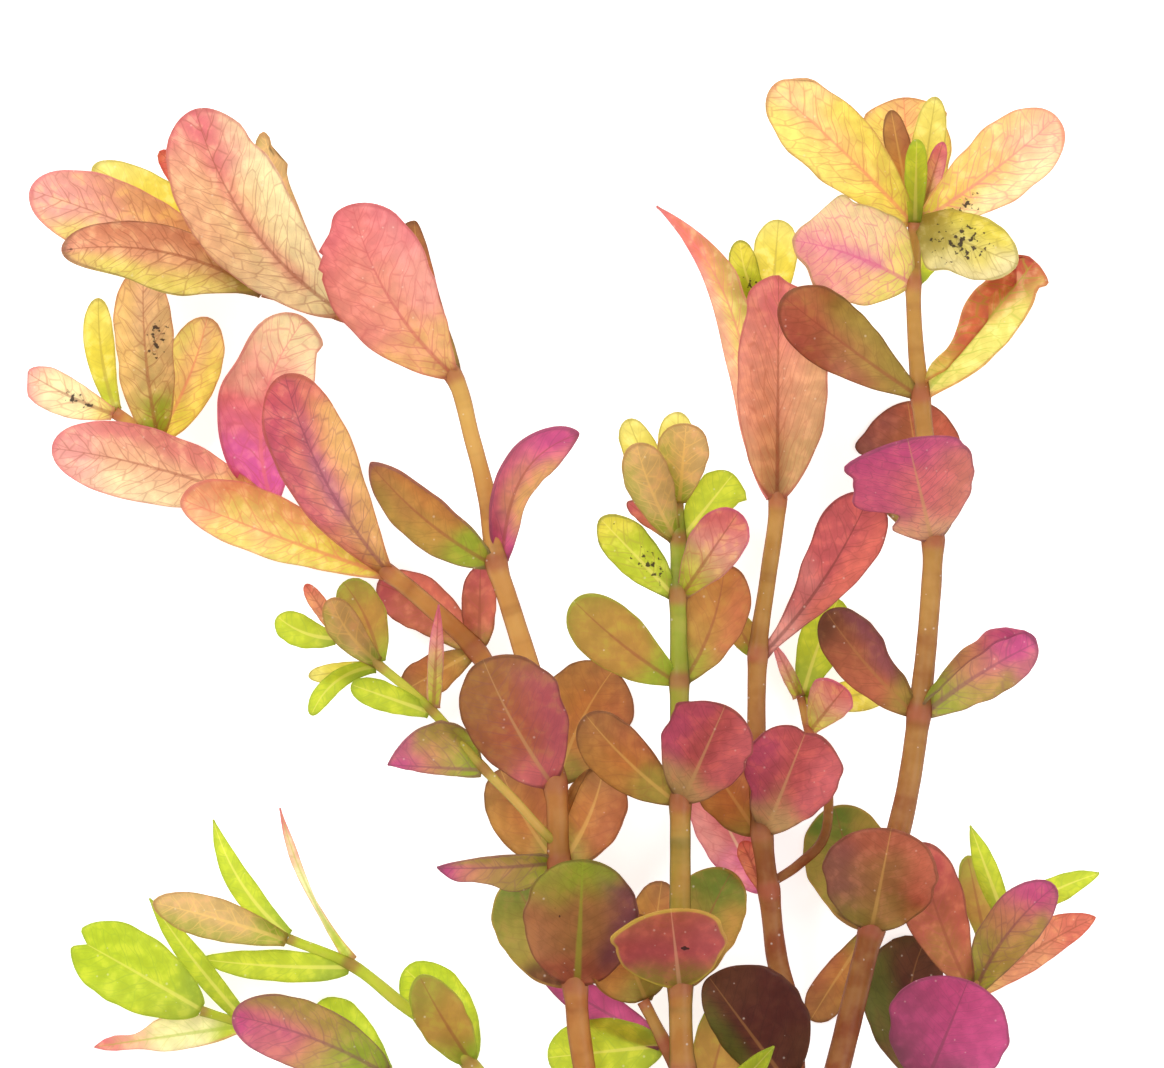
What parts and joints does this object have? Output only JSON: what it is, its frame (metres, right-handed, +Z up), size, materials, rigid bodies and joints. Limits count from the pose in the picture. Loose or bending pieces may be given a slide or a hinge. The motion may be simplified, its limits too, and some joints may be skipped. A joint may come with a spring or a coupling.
{
  "type": "aquarium stem plant",
  "caption": "Branched aquarium stem plant laid flat: slender stems with opposite pairs of rounded, veined leaves in pink, yellow, green and brown.",
  "frame": {"origin": "centre of the plant's footprint, on the surface it lies on", "axes": "+X to the right as seen from above, +Y from the cut foot up to the growing tips, +Z up from the surface"},
  "size_m": [0.1076, 0.1234, 0.0222],
  "materials": {
    "stem": "satin plant stem",
    "leaf_pink": "thin soft leaf blade",
    "leaf_salmon": "thin soft leaf blade",
    "leaf_yellow": "thin soft leaf blade",
    "leaf_brown": "thin soft leaf blade",
    "leaf_olive": "thin soft leaf blade",
    "leaf_magenta": "thin soft leaf blade",
    "leaf_cream": "thin soft leaf blade",
    "leaf_crimson": "thin soft leaf blade",
    "leaf_green": "thin soft leaf blade"
  },
  "bodies": {
    "root": {"centre_stem": "stem", "left_stem": "stem", "left_branch": "stem", "side_shoot": "stem", "inner_stem": "stem", "right_stem": "stem", "right_side_shoot": "stem", "low_left_shoot": "stem", "low_left_fork": "stem", "left_tip_front_leaf": "leaf_pink", "left_tip_upper_leaf": "leaf_salmon", "left_tip_lower_leaf": "leaf_salmon", "left_tip_back_leaf": "leaf_yellow", "left_upper_front_leaf": "leaf_pink", "left_upper_back_leaf": "leaf_brown", "left_middle_left_leaf": "leaf_olive", "left_middle_right_leaf": "leaf_magenta", "left_node_front_leaf": "leaf_brown", "left_node_back_leaf": "leaf_brown", "left_low_right_leaf": "leaf_salmon", "left_low_left_leaf": "leaf_olive", "left_foot_back_leaf": "leaf_olive", "left_foot_front_leaf": "leaf_brown", "branch_front_leaf": "leaf_magenta", "branch_lower_leaf": "leaf_cream", "branch_upper_leaf": "leaf_pink", "branch_left_leaf": "leaf_pink", "branch_upright_leaf": "leaf_salmon", "centre_left_leaf": "leaf_olive", "centre_right_leaf": "leaf_olive", "centre_node_left_leaf": "leaf_olive", "centre_node_front_leaf": "leaf_crimson", "centre_low_front_leaf": "leaf_pink", "centre_low_back_leaf": "leaf_olive", "inner_tip_front_leaf": "leaf_pink", "inner_tip_left_leaf": "leaf_pink", "inner_right_leaf": "leaf_crimson", "inner_low_front_leaf": "leaf_crimson", "inner_low_left_leaf": "leaf_pink", "inner_foot_leaf": "leaf_crimson", "right_tip_left_leaf": "leaf_salmon", "right_tip_back_leaf": "leaf_salmon", "right_tip_right_leaf": "leaf_pink", "right_tip_lower_leaf": "leaf_yellow", "right_upper_front_leaf": "leaf_cream", "right_upper_left_leaf": "leaf_olive", "right_upper_right_leaf": "leaf_crimson", "right_middle_front_leaf": "leaf_magenta", "right_middle_back_leaf": "leaf_brown", "right_lower_left_leaf": "leaf_brown", "right_lower_right_leaf": "leaf_magenta", "right_low_back_leaf": "leaf_olive", "right_low_front_leaf": "leaf_brown", "shoot_front_leaf": "leaf_magenta", "shoot_upright_leaf": "leaf_crimson", "low_left_heart_leaf": "leaf_green", "low_left_pink_leaf": "leaf_magenta"}
  },
  "joints": []
}
